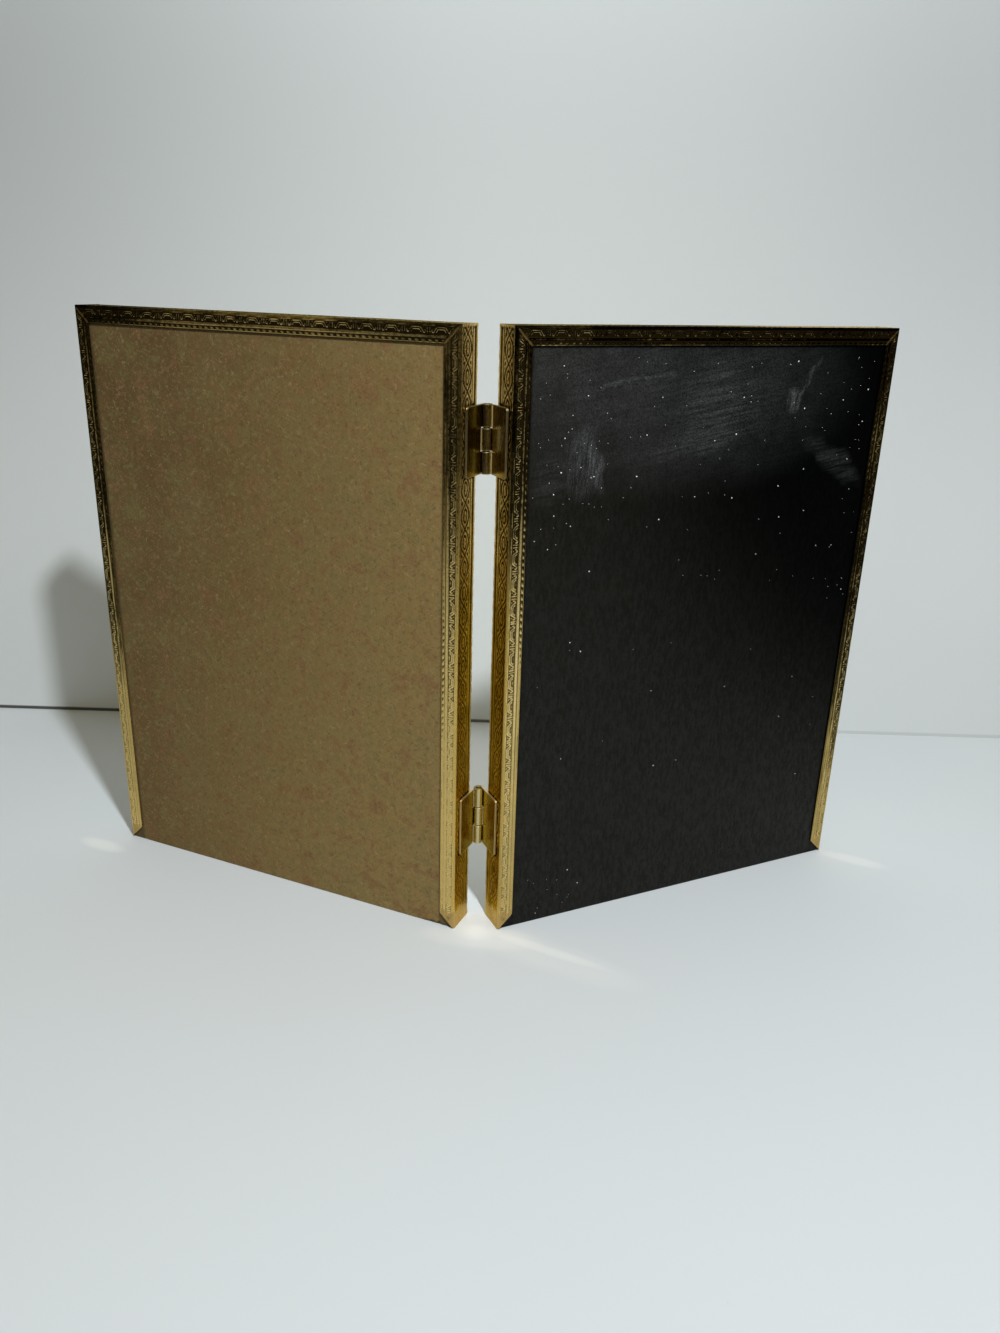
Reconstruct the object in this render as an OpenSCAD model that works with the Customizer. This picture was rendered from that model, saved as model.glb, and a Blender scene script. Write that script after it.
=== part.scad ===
/* [Photographs and stand] */
// Width of the photograph that each frame holds
photo_w = 127; // [60:0.5:210]
// Height of the photograph that each frame holds
photo_h = 177.8; // [110:0.1:300]
// Angle between the two frames, as they stand
opening_angle = 131.3; // [60:0.1:180]

/* [Moulding] */
// Thickness of the pressed brass sheet
sheet_t = 0.5; // [0.3:0.05:0.7]
// Width of the lip that turns in over the back board
back_lip_w = 5; // [3:0.5:9]
// Radius of the edge between the back lip and the side
back_edge_r = 0.8; // [0.6:0.1:1.5]
// Radius of the shoulder between the side and the front
shoulder_r = 3; // [1.5:0.5:4]
// Width of the crest along the front
crest_w = 1; // [0.75:0.25:3]
// Width of the cove that runs from the crest to the glass
cove_w = 4; // [2:0.5:8]
// Depth of the cove, from the crest to the sight edge
cove_depth = 4; // [2:0.5:6]

/* [Glass, cards and boards] */
// Thickness of the glass
glass_t = 2; // [1:0.1:4]
// Thickness of the photograph's card
card_t = 0.4; // [0.2:0.1:1]
// Thickness of the filler card behind it
filler_t = 2; // [1:0.1:4]
// Thickness of the sliding back board
board_t = 3; // [2:0.1:5]
// Room at each side of the glass and the cards
pack_side_gap = 1; // [0.2:0.1:2]
// Room above the glass and the cards
pack_top_gap = 3.6; // [0.5:0.1:5]
// Room at each side of the back board
board_side_gap = 0.5; // [0.2:0.1:1.5]
// Room above the back board
board_top_gap = 0.5; // [0.2:0.1:2]
// Room before and behind the back board, so that it slides
board_face_gap = 0.05; // [0.02:0.01:0.3]

/* [Hinges] */
// Length of each hinge
hinge_len = 19.05; // [12:0.05:30]
// Distance from the pin's axis to the outer edge of a leaf
hinge_reach = 10.5; // [6:0.5:12]
// Thickness of a hinge leaf
leaf_t = 0.65; // [0.4:0.05:1.2]
// Radius of a leaf's outer corners
leaf_corner_r = 0.8; // [0.2:0.1:2]
// Radius of the hinge pin
pin_r = 0.9; // [0.5:0.05:1.2]
// Clearance round the pin in a knuckle that turns on it
pin_run_gap = 0.05; // [0.01:0.01:0.1]
// How far each end of the pin lies inside the barrel
pin_recess = 0.2; // [0.1:0.05:1]
// End gap between neighbouring knuckles
knuckle_gap = 0.15; // [0.1:0.05:0.5]
// Clearance from a knuckle to the notch in the other leaf
notch_gap = 0.3; // [0.2:0.05:1]
// Distance of the pin's axis in front of the mouldings
axis_rise = 1; // [0.5:0.1:3]
// Distance from the top of the frames to the upper hinge
upper_hinge_drop = 21; // [10:0.5:30]
// Distance from the foot of the frames to the lower hinge
lower_hinge_rise = 25.4; // [10:0.1:30]

/* [Hidden] */
$fn = 64;
ARC_STEPS = 10;
// Cutters and mitre blocks reach this far past what they cut
CUT = 1;

// Each frame's width, height and thickness over its brass
frame_w = photo_w + 2 * (pack_side_gap + sheet_t);
frame_h = photo_h + pack_top_gap + 2 * sheet_t;
board_slot = sheet_t + board_t + 2 * board_face_gap;
pack_t = filler_t + card_t + glass_t;
frame_t = board_slot + pack_t + sheet_t + cove_depth;
front_lip_w = shoulder_r + crest_w + cove_w;

// The leaves are rolled round the pin to make the knuckles
knuckle_r = pin_r + leaf_t;
knuckle_len = (hinge_len - 2 * knuckle_gap) / 3;
OUTER_KNUCKLES = [0, 2];
MIDDLE_KNUCKLE = [1];
upper_hinge_z = frame_h - upper_hinge_drop - hinge_len;
lower_hinge_z = lower_hinge_rise;

// Each frame is turned by this angle from one straight line
lean = (180 - opening_angle) / 2;
back_plane = axis_rise + frame_t;
// The nearest and the farthest point of a frame, from the pin's axis
near_y = (knuckle_r + back_edge_r) * sin(lean) - (back_plane - back_edge_r) * cos(lean) - back_edge_r;
far_u = knuckle_r + frame_w - shoulder_r;
far_y = far_u * sin(lean) - (axis_rise + shoulder_r) * cos(lean) + shoulder_r;
// The origin is the middle of the standing frames' footprint
axis_y = -(near_y + far_y) / 2;

BRASS = "#9a8340";
HINGE_BRASS = "#b39a55";
CLEAR_GLASS = [0.8, 0.88, 0.88, 0.35];
CARD_WHITE = "#e8e4da";
FILLER_GREY = "#b8ad98";
KRAFT = "#7b6747";
BLACK_BOARD = "#1e1d1c";

// Points of an elliptical arc round a centre, from one angle to another
function arc(centre, rx, ry, from, to) = [
    for (i = [0 : ARC_STEPS])
        let (angle = from + (to - from) * i / ARC_STEPS)
            centre + [rx * cos(angle), ry * sin(angle)]
];

// The front of the moulding in section: x runs inwards from the side, y from the back to the front
function shoulder(r) = arc([shoulder_r, frame_t - shoulder_r], r, r, 180, 90);
function cove(grow, from) = arc([front_lip_w, frame_t], cove_w + grow, cove_depth + grow, from, 270);
under_crest = 180 + asin(sheet_t / (cove_depth + sheet_t));
front_outside = concat(shoulder(shoulder_r), cove(0, 180));
front_inside = concat(shoulder(shoulder_r - sheet_t), cove(sheet_t, under_crest));
function backwards(points) = [for (i = [len(points) - 1 : -1 : 0]) points[i]];

// Section of the top rail and the stiles, with the lip that holds the back board
channel_section = concat(
    [[back_lip_w, 0]],
    arc([back_edge_r, back_edge_r], back_edge_r, back_edge_r, 270, 180),
    front_outside,
    backwards(front_inside),
    [[sheet_t, sheet_t], [back_lip_w, sheet_t]]
);
// Section of the bottom rail, which leaves the back board's slot open
foot_section = concat(
    [[0, board_slot]],
    front_outside,
    backwards(front_inside),
    [[sheet_t, board_slot]]
);

// A length of moulding that stands along z, with both ends mitred towards its inner edge
module rail(length, section) {
    mitre_w = front_lip_w + back_lip_w;
    intersection() {
        linear_extrude(length) polygon(section);
        translate([0, frame_t + CUT, 0])
            rotate([90, 0, 0])
                linear_extrude(frame_t + 2 * CUT)
                    polygon([[-CUT, -CUT], [mitre_w, mitre_w], [mitre_w, length - mitre_w], [-CUT, length + CUT]]);
    }
}

// The right side's own frame: the pin's axis at x = 0 and y = 0, with the frame along +x
module right_side() {
    translate([0, axis_y, 0])
        rotate([0, 0, lean])
            children();
}

module left_side() {
    mirror([1, 0, 0])
        right_side()
            children();
}

// Inside a frame, x runs from the hinge end outwards and y from the back to the front
module in_frame() {
    translate([knuckle_r, -back_plane, 0])
        children();
}

module top_rail() {
    color(BRASS)
        in_frame()
            translate([0, 0, frame_h])
                rotate([0, 90, 0])
                    rail(frame_w, channel_section);
}

module bottom_rail() {
    color(BRASS)
        in_frame()
            translate([frame_w, 0, 0])
                rotate([0, -90, 0])
                    rail(frame_w, foot_section);
}

module hinge_stile() {
    color(BRASS)
        in_frame()
            rail(frame_h, channel_section);
}

module outer_stile() {
    color(BRASS)
        in_frame()
            translate([frame_w, 0, 0])
                mirror([1, 0, 0])
                    rail(frame_h, channel_section);
}

// A sheet of the photograph's size that stands on the bottom rail
module pack_sheet(depth, thickness) {
    in_frame()
        translate([sheet_t + pack_side_gap, depth, sheet_t])
            cube([photo_w, thickness, photo_h]);
}

module filler_card() {
    color(FILLER_GREY)
        pack_sheet(board_slot, filler_t);
}

module photo_card() {
    color(CARD_WHITE)
        pack_sheet(board_slot + filler_t, card_t);
}

module glass() {
    color(CLEAR_GLASS)
        pack_sheet(board_slot + filler_t + card_t, glass_t);
}

// The back board slides in from below, and its foot is flush with the frame's
module back_board(board_color) {
    board_u = sheet_t + board_side_gap;
    color(board_color)
        in_frame()
            translate([board_u, sheet_t + board_face_gap, 0])
                cube([frame_w - 2 * board_u, board_t, frame_h - sheet_t - board_top_gap]);
}

function knuckle_z(k) = k * (knuckle_len + knuckle_gap);

// Outline of a leaf: x runs from the outer edge to the pin's axis, y along the hinge
module leaf_outline() {
    translate([leaf_corner_r - hinge_reach, 0])
        square([hinge_reach - leaf_corner_r, hinge_len]);
    translate([-hinge_reach, leaf_corner_r])
        square([leaf_corner_r + CUT, hinge_len - 2 * leaf_corner_r]);
    for (end = [leaf_corner_r, hinge_len - leaf_corner_r])
        translate([leaf_corner_r - hinge_reach, end])
            circle(leaf_corner_r);
}

// A leaf with its own knuckles, notched where the other leaf's knuckles turn
module leaf(own, other, bore_r) {
    notch_depth = knuckle_r + notch_gap;
    color(HINGE_BRASS)
        difference() {
            union() {
                translate([knuckle_r - leaf_t, 0, 0])
                    rotate([90, 0, 90])
                        linear_extrude(leaf_t)
                            leaf_outline();
                for (k = own)
                    translate([0, 0, knuckle_z(k)])
                        cylinder(r = knuckle_r, h = knuckle_len);
            }
            for (k = other)
                translate([-CUT, -notch_depth, knuckle_z(k) - knuckle_gap])
                    cube([knuckle_r + 2 * CUT, notch_depth + CUT, knuckle_len + 2 * knuckle_gap]);
            translate([0, 0, -CUT])
                cylinder(r = bore_r, h = hinge_len + 2 * CUT);
        }
}

// The leaf with two knuckles grips the pin, and the other leaf turns on it
module gripping_leaf(height) {
    translate([0, 0, height])
        leaf(OUTER_KNUCKLES, MIDDLE_KNUCKLE, pin_r);
}

module turning_leaf(height) {
    translate([0, 0, height])
        leaf(MIDDLE_KNUCKLE, OUTER_KNUCKLES, pin_r + pin_run_gap);
}

module hinge_pin(height) {
    color(HINGE_BRASS)
        translate([0, 0, height + pin_recess])
            cylinder(r = pin_r, h = hinge_len - 2 * pin_recess);
}

left_side() top_rail();  // left_top_rail
left_side() outer_stile();  // left_outer_stile
left_side() hinge_stile();  // left_hinge_stile
left_side() bottom_rail();  // left_bottom_rail
left_side() glass();  // left_glass
left_side() photo_card();  // left_photo_card
left_side() filler_card();  // left_filler_card
left_side() back_board(KRAFT);  // left_back_board
right_side() top_rail();  // right_top_rail
right_side() outer_stile();  // right_outer_stile
right_side() hinge_stile();  // right_hinge_stile
right_side() bottom_rail();  // right_bottom_rail
right_side() glass();  // right_glass
right_side() photo_card();  // right_photo_card
right_side() filler_card();  // right_filler_card
right_side() back_board(BLACK_BOARD);  // right_back_board
left_side() gripping_leaf(upper_hinge_z);  // upper_hinge_left_leaf
right_side() turning_leaf(upper_hinge_z);  // upper_hinge_right_leaf
right_side() hinge_pin(upper_hinge_z);  // upper_hinge_pin
left_side() turning_leaf(lower_hinge_z);  // lower_hinge_left_leaf
right_side() gripping_leaf(lower_hinge_z);  // lower_hinge_right_leaf
right_side() hinge_pin(lower_hinge_z);  // lower_hinge_pin
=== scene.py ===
"""Looks of the hinged double photograph frame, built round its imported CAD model."""

from math import cos, pi, radians, sin

import bpy
import numpy as np
from mathutils import Matrix, Vector


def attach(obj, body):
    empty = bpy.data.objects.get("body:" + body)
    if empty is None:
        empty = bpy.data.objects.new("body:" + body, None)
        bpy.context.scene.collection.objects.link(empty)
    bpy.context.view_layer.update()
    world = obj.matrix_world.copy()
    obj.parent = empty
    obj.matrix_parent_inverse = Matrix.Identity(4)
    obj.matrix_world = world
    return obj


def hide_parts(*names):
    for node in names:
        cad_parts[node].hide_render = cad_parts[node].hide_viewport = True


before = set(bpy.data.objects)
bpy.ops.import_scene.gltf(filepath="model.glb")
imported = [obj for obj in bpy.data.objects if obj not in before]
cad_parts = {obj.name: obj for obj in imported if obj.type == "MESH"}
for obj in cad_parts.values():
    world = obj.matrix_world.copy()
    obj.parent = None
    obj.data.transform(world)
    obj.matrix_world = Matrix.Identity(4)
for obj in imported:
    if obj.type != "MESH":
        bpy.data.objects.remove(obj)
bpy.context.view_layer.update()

# Sizes are in millimetres and become metres when a mesh is made; materials and lights use metres
MM = 0.001

# The CAD model's own sizes
FRAME_W = 130.0
FRAME_H = 182.4
FRAME_T = 12.5
SHEET_T = 0.5
BACK_LIP_W = 5.0
BACK_EDGE_R = 0.8
SHOULDER_R = 3.0
CREST_W = 1.0
COVE_R = 4.0
BOARD_T = 3.0
BOARD_FACE_GAP = 0.05
BOARD_EDGE_GAP = 0.5
PIN_R = 0.9
PIN_RECESS = 0.2
LEAF_T = 0.65
LEAF_CORNER_R = 0.8
HINGE_LEN = 19.05
HINGE_REACH = 10.5
KNUCKLE_GAP = 0.15
AXIS_RISE = 1.0
UPPER_HINGE_DROP = 21.0
LOWER_HINGE_Z = 25.4
OPENING_ANGLE = 131.3
SIDES = {"left": -1, "right": 1}

# What follows from them: u runs out from the hinge and w from the back of a frame to its front
BOARD_SIDE = SHEET_T + BOARD_EDGE_GAP
BOARD_BACK = SHEET_T + BOARD_FACE_GAP
BOARD_SLOT = BOARD_BACK + BOARD_T + BOARD_FACE_GAP
BOARD_H = FRAME_H - SHEET_T - BOARD_EDGE_GAP
KNUCKLE_R = PIN_R + LEAF_T
KNUCKLE_LEN = (HINGE_LEN - 2 * KNUCKLE_GAP) / 3
UPPER_HINGE_Z = FRAME_H - UPPER_HINGE_DROP - HINGE_LEN
BACK_PLANE = AXIS_RISE + FRAME_T
LEAN = radians((180 - OPENING_ANGLE) / 2)
NEAR_Y = (KNUCKLE_R + BACK_EDGE_R) * sin(LEAN) - (BACK_PLANE - BACK_EDGE_R) * cos(LEAN) - BACK_EDGE_R
FAR_U = KNUCKLE_R + FRAME_W - SHOULDER_R
FAR_Y = FAR_U * sin(LEAN) - (AXIS_RISE + SHOULDER_R) * cos(LEAN) + SHOULDER_R
AXIS_Y = -(NEAR_Y + FAR_Y) / 2

# Where the looks leave the CAD model: a tighter notch beside the knuckles, wider gaps between the
# knuckles, a knuckle's seam that stays open, a softened free edge of the lip and a domed pin
NOTCH_GAP = 0.2
KNUCKLE_TRIM = 0.1
ROLL_END = 293.0
LIP_EDGE_R = 0.2
PIN_DOME = [(0.0, 0.0), (0.45, 0.03), (0.72, 0.09), (0.86, 0.17), (PIN_R, 0.3)]
PIN_TURNS = 32
BOARD_CORNER_R = 0.28

# The pressed ornament's pitches along the rails, and half a lip scroll as lines of (along, v)
LIP_PITCH = 7.4
ROPE_PITCH = 2.0
VINE_PITCH = 7.4
PETAL_PITCH = 3.7
SCROLL = [(0, 1.15), (1.25, 1.15), (1.95, 2.05), (2.15, 2.4), (2.5, 2.45), (2.75, 2.15), (2.7, 1.85)]
INNER_SCROLL = [(0, 1.7), (0.95, 1.7), (1.45, 2.35)]
BAR = [(3.35, 1.25), (3.35, 2.3)]
BUDS = [[(3.3, 2.7), (3.31, 2.7)], [(2.3, 1.3), (2.31, 1.3)]]
ROPE_V = 4.45
VINE_W = 4.15

# The rails' grid: the stretch that each mitre squeezes, and the step from column to column
MITRE_ZONE = 12.0
COLUMN_STEP = 0.27
# The row and column of the grid where it is tested which way its faces look
FACING_TEST = (10, 10)


def clamp(x, low=0.0, high=1.0):
    return np.clip(x, low, high)


def smooth_step(x, low, high):
    """0 below low and 1 above high, or the other way round where low is above high."""
    t = clamp((x - low) / (high - low))
    return t * t * (3 - 2 * t)


def value_noise(x, y, seed):
    """Smooth noise from -1 to 1, with features about one unit wide."""
    table = np.random.default_rng(seed).uniform(-1, 1, (128, 128))
    x, y = np.broadcast_arrays(x, y)
    column = np.floor(x).astype(int)
    row = np.floor(y).astype(int)
    tx = smooth_step(x - column, 0, 1)
    ty = smooth_step(y - row, 0, 1)

    def along(row):
        return table[column % 128, row % 128] * (1 - tx) + table[(column + 1) % 128, row % 128] * tx

    return along(row) * (1 - ty) + along(row + 1) * ty


def ridge(x, centre, half_width):
    """A round ridge of height 1 across x."""
    return clamp(1 - ((x - centre) / half_width) ** 2)


def stroke(x, y, points, half_width):
    """A round ridge of height 1 along the lines through the points."""
    nearest = np.full(np.broadcast(x, y).shape, 99.0)
    for (x0, y0), (x1, y1) in zip(points, points[1:]):
        length_2 = (x1 - x0) ** 2 + (y1 - y0) ** 2
        t = clamp(((x - x0) * (x1 - x0) + (y - y0) * (y1 - y0)) / length_2)
        gap = np.hypot(x - x0 - t * (x1 - x0), y - y0 - t * (y1 - y0))
        nearest = np.minimum(nearest, gap)
    return clamp(1 - (nearest / half_width) ** 2)


def around(x, pitch):
    """The distance along a repeating pattern from the middle of its nearest repeat."""
    return (x + pitch / 2) % pitch - pitch / 2


def lip_relief(v, run):
    """Heights of the lip's pattern and bead row: v from the outer edge inwards, run from the middle."""
    p = np.abs(around(run, LIP_PITCH))
    sunk = smooth_step(v, 0.8, 1.0) * smooth_step(v, 3.05, 2.9)
    drawn = stroke(p, v, SCROLL, 0.24)
    drawn = np.maximum(drawn, stroke(p, v, INNER_SCROLL, 0.21))
    drawn = np.maximum(drawn, stroke(p, v, BAR, 0.23))
    for bud in BUDS:
        drawn = np.maximum(drawn, 0.8 * stroke(p, v, bud, 0.22))
    tray = smooth_step(p + 0.78 * (v - 1.15), 1.9, 1.5) * ridge(v, 1.45, 0.45)
    relief = sunk * (-0.11 + 0.17 * drawn + 0.05 * tray)
    relief = relief + 0.04 * ridge(v, 3.45, 0.35) - 0.08 * ridge(v, 3.92, 0.16)
    slanted = around(run + 0.9 * (v - ROPE_V), ROPE_PITCH)
    bead = np.sqrt(clamp(1 - (slanted / 0.72) ** 2 - ((v - ROPE_V) / 0.36) ** 2))
    return relief, smooth_step(v, 4.0, 4.15) * (-0.09 + 0.12 * bead)


def side_relief(w, run):
    """Height of the engraved vine on the moulding's side: w from the back edge forwards."""
    band = smooth_step(w, 1.35, 1.6) * smooth_step(w, 6.95, 6.7)
    wave = 2.3 * np.sin(pi * run / VINE_PITCH)
    strands = np.maximum(ridge(w, VINE_W + wave, 0.42), ridge(w, VINE_W - wave, 0.42))
    loop = around(run - VINE_PITCH / 2, VINE_PITCH)
    radius = np.hypot(loop / 2.2, (w - VINE_W) / 1.15)
    ring = ridge(radius, 0.85, 0.2)
    leaf = ridge(np.hypot(around(run, VINE_PITCH) / 0.7, (np.abs(w - VINE_W) - 1.8) / 0.5), 0, 1)
    stipple = value_noise(run / 0.5, w / 0.5, 11)
    drawn = np.maximum(np.maximum(strands, 0.75 * ring), 0.7 * leaf)
    relief = -band * (0.19 * drawn + 0.05 * (1 + stipple))
    for line in (1.3, 7.15, 8.9):
        relief = relief - 0.15 * ridge(w, line, 0.2)
    crown = -0.2 * ((w - 5) / 4.3) ** 2 * smooth_step(w, 9.4, 8.6) * smooth_step(w, 0.9, 1.6)
    return relief + crown - 0.02


def shoulder_relief(t, run):
    """Height of the shoulder's gadroons: t from 0 at the side to 1 at the crest."""
    lobe = np.abs(np.sin(pi * run / PETAL_PITCH))
    return -0.16 * np.sin(pi * t) ** 0.7 * (1 - lobe ** 0.6)


def cove_relief(t, run):
    """Height of the cove's petals and of the beads round the sight: t from 0 at the crest to 1."""
    p = around(run, PETAL_PITCH) / PETAL_PITCH
    edge = 0.46 * np.sqrt(clamp(1 - ((t - 0.38) / 0.34) ** 2))
    petal = smooth_step(np.abs(p), edge, edge - 0.09)
    vein = ridge(np.abs(p), 0, 0.05) * smooth_step(t, 0.1, 0.3) * smooth_step(t, 0.62, 0.5)
    inside = smooth_step(t, 0.02, 0.08) * smooth_step(t, 0.8, 0.74)
    relief = inside * (-0.15 + 0.15 * petal - 0.07 * vein)
    bead = np.sqrt(clamp(1 - (around(run, ROPE_PITCH) / 0.85) ** 2 - ((t - 0.88) / 0.08) ** 2))
    return relief - smooth_step(t, 0.78, 0.82) * (0.2 - 0.2 * bead)


def line_points(start, end, step):
    count = max(2, round(np.hypot(end[0] - start[0], end[1] - start[1]) / step) + 1)
    t = np.linspace(0, 1, count)[:, None]
    return np.array(start) * (1 - t) + np.array(end) * t


def arc_points(centre, radius, start, end, count):
    angle = np.radians(np.linspace(start, end, count))
    return np.array(centre) + radius * np.stack([np.cos(angle), np.sin(angle)], -1)


def moulding_section(has_lip):
    """The moulding's outline, as (v, w) points with each point's part and its share along that part.

    v runs inwards from the side, and w from the back to the front. The outline starts at the
    lip's free edge, or at the slot's edge on the rail with no lip, and goes round the outside first.
    """
    side_foot = BACK_EDGE_R if has_lip else BOARD_SLOT
    cove_centre = (SHOULDER_R + CREST_W + COVE_R, FRAME_T)
    shoulder_centre = (SHOULDER_R, FRAME_T - SHOULDER_R)
    hidden_from = 180 + np.degrees(np.arcsin(SHEET_T / (COVE_R + SHEET_T)))
    lip_edge = (BACK_LIP_W - LIP_EDGE_R, LIP_EDGE_R)
    cove_foot = (cove_centre[0], FRAME_T - COVE_R)
    parts = [
        ("side", line_points((0, side_foot + 0.05), (0, FRAME_T - SHOULDER_R - 0.1), 0.21)),
        ("shoulder", arc_points(shoulder_centre, SHOULDER_R, 179, 91, 17)),
        ("edge", line_points((SHOULDER_R + 0.1, FRAME_T), (SHOULDER_R + CREST_W, FRAME_T), 0.3)),
        ("cove", arc_points(cove_centre, COVE_R, 182, 268, 25)),
        ("edge", line_points(cove_foot, (cove_foot[0], cove_foot[1] - SHEET_T), 0.25)),
        ("inside", arc_points(cove_centre, COVE_R + SHEET_T, 265, hidden_from, 5)),
        ("inside", arc_points(shoulder_centre, SHOULDER_R - SHEET_T, 90, 180, 5)),
    ]
    if has_lip:
        parts = [
            ("edge", arc_points(lip_edge, LIP_EDGE_R, 0, -90, 4)),
            ("lip", line_points((BACK_LIP_W - 0.25, 0), (BACK_EDGE_R + 0.05, 0), 0.17)),
            ("edge", arc_points((BACK_EDGE_R, BACK_EDGE_R), BACK_EDGE_R, 265, 185, 6)),
            *parts,
            ("inside", line_points((SHEET_T, SHEET_T), (lip_edge[0], SHEET_T), 1.5)),
        ]
    else:
        parts += [
            ("inside", line_points((SHEET_T, BOARD_SLOT + 1), (SHEET_T, BOARD_SLOT), 1)),
            ("inside", line_points((0.25, BOARD_SLOT), (0.05, BOARD_SLOT), 0.2)),
        ]
    points = np.concatenate([p for _, p in parts])
    names = np.concatenate([[name] * len(p) for name, p in parts])
    shares = np.concatenate([np.linspace(0, 1, len(p)) for _, p in parts])
    return points, names, shares


def add_mesh(name, material, points, faces, fields=None, sharp=50):
    """An object from points in millimetres, with smooth faces and named values at its points."""
    mesh = bpy.data.meshes.new(name)
    mesh.from_pydata(np.asarray(points) * MM, [], faces)
    mesh.polygons.foreach_set("use_smooth", np.ones(len(mesh.polygons), bool))
    mesh.set_sharp_from_angle(angle=radians(sharp))
    for field, values in (fields or {}).items():
        values = np.asarray(values, np.float32)
        kind, key = ("FLOAT", "value") if values.ndim == 1 else ("FLOAT_VECTOR", "vector")
        mesh.attributes.new(field, kind, "POINT").data.foreach_set(key, values.ravel())
    mesh.validate()
    mesh.materials.append(MATERIALS[material])
    thing = bpy.data.objects.new(name, mesh)
    bpy.context.scene.collection.objects.link(thing)
    return thing


def in_model(side, u, w, z):
    """Points of one frame in the model's axes: u from the hinge outwards, w from the back."""
    along = KNUCKLE_R + u
    depth = w - BACK_PLANE
    x = along * cos(LEAN) - depth * sin(LEAN)
    y = along * sin(LEAN) + depth * cos(LEAN) + AXIS_Y
    return np.stack(np.broadcast_arrays(SIDES[side] * x, y, z), -1)


def quads(index):
    """Four-sided faces between the neighbours in a grid of point numbers."""
    return np.stack([index[:-1, :-1], index[1:, :-1], index[1:, 1:], index[:-1, 1:]], -1)


def renumbered(faces):
    """The numbers of the points that four-sided faces use, and the faces with those points alone."""
    used, places = np.unique(faces, return_inverse=True)
    return used, places.reshape(-1, 4).tolist()


def tube_faces(rows, columns, flip):
    """Faces of a closed tube of points, row by row round it and column by column along it."""
    index = np.arange(rows * columns).reshape(rows, columns)
    around_it = quads(np.concatenate([index, index[:1]])).reshape(-1, 4)
    faces = around_it.tolist() + [index[::-1, 0].tolist(), index[:, -1].tolist()]
    return [face[::-1] for face in faces] if flip else faces


def blurred(grid, reach):
    """The grid's running mean over a square of 2 * reach + 1 points."""
    for axis in (0, 1):
        grid = sum(np.roll(grid, k, axis) for k in range(-reach, reach + 1)) / (2 * reach + 1)
    return grid


# How each rail lies in its frame: its length, whether it has a lip, and (v, l) to (u, z)
RAILS = {
    "hinge_stile": (FRAME_H, True, lambda v, l: (v, l)),
    "outer_stile": (FRAME_H, True, lambda v, l: (FRAME_W - v, l)),
    "top_rail": (FRAME_W, True, lambda v, l: (l, FRAME_H - v)),
    "bottom_rail": (FRAME_W, False, lambda v, l: (l, v)),
}


class Rail:
    """The grid of one rail's points before its ornament is raised: a row for each point of its outline."""

    def __init__(self, side, kind):
        self.side = side
        self.kind = kind
        self.length, has_lip, self.place = RAILS[kind]
        self.outline, names, shares = moulding_section(has_lip)
        self.names = names[:, None]
        self.shares = shares[:, None]
        self.on_lip = self.names == "lip"
        self.on_side = self.names == "side"
        self.v = self.outline[:, :1]
        self.w = self.outline[:, 1:]
        self.columns = np.linspace(0, self.length, round(self.length / COLUMN_STEP) + 1)[None, :]
        self.run = mitred(self.v, self.columns, self.length)
        self.u, self.height = np.broadcast_arrays(*self.place(self.v, self.run))
        self.from_mitre = np.minimum(self.run - self.v, self.length - self.v - self.run)


def mitred(v, t, length):
    """Where a column at t along the rail lies, with both ends cut back to 45 degrees."""
    start = v + t * (MITRE_ZONE - v) / MITRE_ZONE
    end = length - v - (length - t) * (MITRE_ZONE - v) / MITRE_ZONE
    return np.where(t < MITRE_ZONE, start, np.where(t > length - MITRE_ZONE, end, t))


# How much of the lip's pattern and of its bead row is left on each stile at heights up it
PATTERN_LEFT = {
    "left_hinge_stile": ((4, 0.9), (9, 0.28), (60, 0.3), (85, 0.5), (100, 0.75), (125, 0.6), (182, 0.55)),
    "right_hinge_stile": ((4, 0.9), (9, 0.35), (50, 0.5), (95, 1.0), (182, 1.0)),
    "left_outer_stile": ((4, 0.9), (9, 0.35), (55, 0.4), (100, 1.0), (182, 1.0)),
    "right_outer_stile": ((4, 0.9), (9, 0.35), (40, 0.4), (90, 1.0), (182, 1.0)),
}
BEADS_LEFT = {
    "left_hinge_stile": ((55, 0.0), (70, 0.4), (92, 0.6), (106, 0.25), (120, 0.1), (182, 0.2)),
    "right_hinge_stile": ((85, 0.0), (100, 0.9), (130, 0.9), (182, 0.55)),
    "left_outer_stile": ((70, 0.0), (110, 0.5), (182, 0.6)),
    "right_outer_stile": ((60, 0.0), (90, 0.6), (182, 0.8)),
}
ALL_LEFT = ((0, 1.0), (182, 1.0))


def left_of(table, rail):
    return np.interp(rail.height, *zip(*table.get(f"{rail.side}_{rail.kind}", ALL_LEFT)))


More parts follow.
